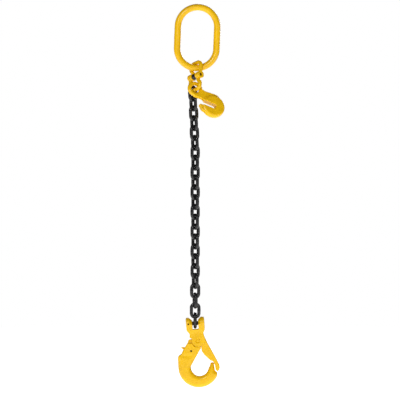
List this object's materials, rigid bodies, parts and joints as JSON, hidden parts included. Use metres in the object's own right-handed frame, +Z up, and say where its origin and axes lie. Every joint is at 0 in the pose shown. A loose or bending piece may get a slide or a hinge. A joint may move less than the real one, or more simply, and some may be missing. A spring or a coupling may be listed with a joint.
{
  "type": "chain sling",
  "caption": "Single-leg alloy chain sling: oblong master link, coupling link, shortening hook, short-link chain and a clevis self-locking hook.",
  "frame": {"origin": "seat in the top of the master link's opening, where a crane hook carries the sling", "axes": "+Z up along the hanging sling, +X to the right and +Y away from the viewer of the hook's front face"},
  "size_m": [0.1083, 0.0553, 0.8177],
  "materials": {
    "yellow_paint": "gloss powder coat on forged alloy steel",
    "black_chain": "black lacquer on hardened alloy steel",
    "pin_steel": "dull hardened steel",
    "spring_steel": "bright drawn wire"
  },
  "bodies": {
    "master": {"master_link": "yellow_paint"},
    "coupling_upper": {"coupling_upper_half": "yellow_paint", "coupling_load_pin": "pin_steel", "coupling_sleeve": "black_chain"},
    "coupling_lower": {"coupling_lower_half": "yellow_paint"},
    "shortener": {"grab_hook": "yellow_paint"},
    "link_01": {"chain_link_01": "black_chain"},
    "link_02": {"chain_link_02": "black_chain"},
    "link_03": {"chain_link_03": "black_chain"},
    "link_04": {"chain_link_04": "black_chain"},
    "link_05": {"chain_link_05": "black_chain"},
    "link_06": {"chain_link_06": "black_chain"},
    "link_07": {"chain_link_07": "black_chain"},
    "link_08": {"chain_link_08": "black_chain"},
    "link_09": {"chain_link_09": "black_chain"},
    "link_10": {"chain_link_10": "black_chain"},
    "link_11": {"chain_link_11": "black_chain"},
    "link_12": {"chain_link_12": "black_chain"},
    "link_13": {"chain_link_13": "black_chain"},
    "link_14": {"chain_link_14": "black_chain"},
    "link_15": {"chain_link_15": "black_chain"},
    "link_16": {"chain_link_16": "black_chain"},
    "link_17": {"chain_link_17": "black_chain"},
    "link_18": {"chain_link_18": "black_chain"},
    "link_19": {"chain_link_19": "black_chain"},
    "link_20": {"chain_link_20": "black_chain"},
    "link_21": {"chain_link_21": "black_chain"},
    "link_22": {"chain_link_22": "black_chain"},
    "link_23": {"chain_link_23": "black_chain"},
    "link_24": {"chain_link_24": "black_chain"},
    "hook_head": {"hook_head": "yellow_paint", "hook_load_pin": "pin_steel", "load_pin_retainer": "pin_steel", "hook_pivot_rivet": "pin_steel"},
    "hook_bowl": {"hook_bowl": "yellow_paint", "trigger_pin": "pin_steel", "trigger_spring": "spring_steel"},
    "trigger": {"trigger": "yellow_paint"}
  },
  "joints": [
    {"name": "coupling_swing", "type": "hinge", "parent": "master", "child": "coupling_upper", "pos_m": [-0.00472, 0, -0.12291], "axis": [0.9993, 0, -0.0384], "range_deg": [-40, 40]},
    {"name": "coupling_fold", "type": "hinge", "parent": "coupling_upper", "child": "coupling_lower", "pos_m": [-0.00566, -0.00649, -0.14125], "axis": [0.6308, -0.741, 0.2303], "range_deg": [-60, 60]},
    {"name": "shortener_swing", "type": "hinge", "parent": "coupling_lower", "child": "shortener", "pos_m": [-0.00367, -0.02091, -0.16917], "axis": [0.6308, -0.741, 0.2303], "range_deg": [-40, 25]},
    {"name": "link_01_swing", "type": "hinge", "parent": "coupling_lower", "child": "link_01", "pos_m": [-0.01175, -0.01142, -0.17212], "axis": [0.6308, -0.741, 0.2303], "range_deg": [-25, 45]},
    {"name": "link_02_swing", "type": "hinge", "parent": "link_01", "child": "link_02", "pos_m": [-0.0109, -0.01142, -0.19218], "axis": [0.8081, 0.5881, 0.0339], "range_deg": [-25, 60]},
    {"name": "link_03_swing", "type": "hinge", "parent": "link_02", "child": "link_03", "pos_m": [-0.01002, -0.01142, -0.21316], "axis": [0.5869, -0.8093, 0.0246], "range_deg": [-60, 60]},
    {"name": "link_04_swing", "type": "hinge", "parent": "link_03", "child": "link_04", "pos_m": [-0.00915, -0.01142, -0.23414], "axis": [-0.8081, -0.5881, -0.0339], "range_deg": [-60, 60]},
    {"name": "link_05_swing", "type": "hinge", "parent": "link_04", "child": "link_05", "pos_m": [-0.00827, -0.01142, -0.25512], "axis": [-0.5869, 0.8093, -0.0246], "range_deg": [-60, 60]},
    {"name": "link_06_swing", "type": "hinge", "parent": "link_05", "child": "link_06", "pos_m": [-0.00739, -0.01142, -0.27611], "axis": [0.8081, 0.5881, 0.0339], "range_deg": [-60, 60]},
    {"name": "link_07_swing", "type": "hinge", "parent": "link_06", "child": "link_07", "pos_m": [-0.00651, -0.01142, -0.29709], "axis": [0.5869, -0.8093, 0.0246], "range_deg": [-60, 60]},
    {"name": "link_08_swing", "type": "hinge", "parent": "link_07", "child": "link_08", "pos_m": [-0.00651, -0.01142, -0.31809], "axis": [-0.809, -0.5878, 0], "range_deg": [-60, 60]},
    {"name": "link_09_swing", "type": "hinge", "parent": "link_08", "child": "link_09", "pos_m": [-0.00651, -0.01142, -0.33909], "axis": [-0.5878, 0.809, 0], "range_deg": [-60, 60]},
    {"name": "link_10_swing", "type": "hinge", "parent": "link_09", "child": "link_10", "pos_m": [-0.00651, -0.01142, -0.36009], "axis": [0.809, 0.5878, 0], "range_deg": [-60, 60]},
    {"name": "link_11_swing", "type": "hinge", "parent": "link_10", "child": "link_11", "pos_m": [-0.00651, -0.01142, -0.38109], "axis": [0.5878, -0.809, 0], "range_deg": [-60, 60]},
    {"name": "link_12_swing", "type": "hinge", "parent": "link_11", "child": "link_12", "pos_m": [-0.00651, -0.01142, -0.40209], "axis": [-0.809, -0.5878, 0], "range_deg": [-60, 60]},
    {"name": "link_13_swing", "type": "hinge", "parent": "link_12", "child": "link_13", "pos_m": [-0.00651, -0.01142, -0.42309], "axis": [-0.5878, 0.809, 0], "range_deg": [-60, 60]},
    {"name": "link_14_swing", "type": "hinge", "parent": "link_13", "child": "link_14", "pos_m": [-0.00651, -0.01142, -0.44409], "axis": [0.809, 0.5878, 0], "range_deg": [-60, 60]},
    {"name": "link_15_swing", "type": "hinge", "parent": "link_14", "child": "link_15", "pos_m": [-0.00651, -0.01142, -0.46509], "axis": [0.5878, -0.809, 0], "range_deg": [-60, 60]},
    {"name": "link_16_swing", "type": "hinge", "parent": "link_15", "child": "link_16", "pos_m": [-0.00651, -0.01142, -0.48609], "axis": [-0.809, -0.5878, 0], "range_deg": [-60, 60]},
    {"name": "link_17_swing", "type": "hinge", "parent": "link_16", "child": "link_17", "pos_m": [-0.00651, -0.01142, -0.50709], "axis": [-0.5878, 0.809, 0], "range_deg": [-60, 60]},
    {"name": "link_18_swing", "type": "hinge", "parent": "link_17", "child": "link_18", "pos_m": [-0.00651, -0.01142, -0.52809], "axis": [0.809, 0.5878, 0], "range_deg": [-60, 60]},
    {"name": "link_19_swing", "type": "hinge", "parent": "link_18", "child": "link_19", "pos_m": [-0.00651, -0.01142, -0.54909], "axis": [0.5878, -0.809, 0], "range_deg": [-60, 60]},
    {"name": "link_20_swing", "type": "hinge", "parent": "link_19", "child": "link_20", "pos_m": [-0.00651, -0.01142, -0.57009], "axis": [-0.809, -0.5878, 0], "range_deg": [-60, 60]},
    {"name": "link_21_swing", "type": "hinge", "parent": "link_20", "child": "link_21", "pos_m": [-0.00651, -0.01142, -0.59109], "axis": [-0.4818, 0.8763, 0], "range_deg": [-60, 60]},
    {"name": "link_22_swing", "type": "hinge", "parent": "link_21", "child": "link_22", "pos_m": [-0.00651, -0.01142, -0.61209], "axis": [0.9298, 0.3681, 0], "range_deg": [-60, 60]},
    {"name": "link_23_swing", "type": "hinge", "parent": "link_22", "child": "link_23", "pos_m": [-0.00651, -0.01142, -0.63309], "axis": [0.2487, -0.9686, 0], "range_deg": [-60, 60]},
    {"name": "link_24_swing", "type": "hinge", "parent": "link_23", "child": "link_24", "pos_m": [-0.00651, -0.01142, -0.65409], "axis": [-0.9921, -0.1253, 0], "range_deg": [-45, 45]},
    {"name": "hook_swing", "type": "hinge", "parent": "link_24", "child": "hook_head", "pos_m": [-0.00651, -0.01142, -0.66704], "axis": [0.9965, 0, 0.0837], "range_deg": [-75, 75]},
    {"name": "bowl_open", "type": "hinge", "parent": "hook_head", "child": "hook_bowl", "pos_m": [-0.00071, -0.01142, -0.70378], "axis": [0, 1, 0], "range_deg": [0, 30]},
    {"name": "trigger_press", "type": "hinge", "parent": "hook_bowl", "child": "trigger", "pos_m": [-0.01502, -0.01142, -0.72576], "axis": [0, 1, 0], "range_deg": [0, 12], "stiffness_Nm_per_rad": 0.2, "springref_deg": -17.19}
  ]
}
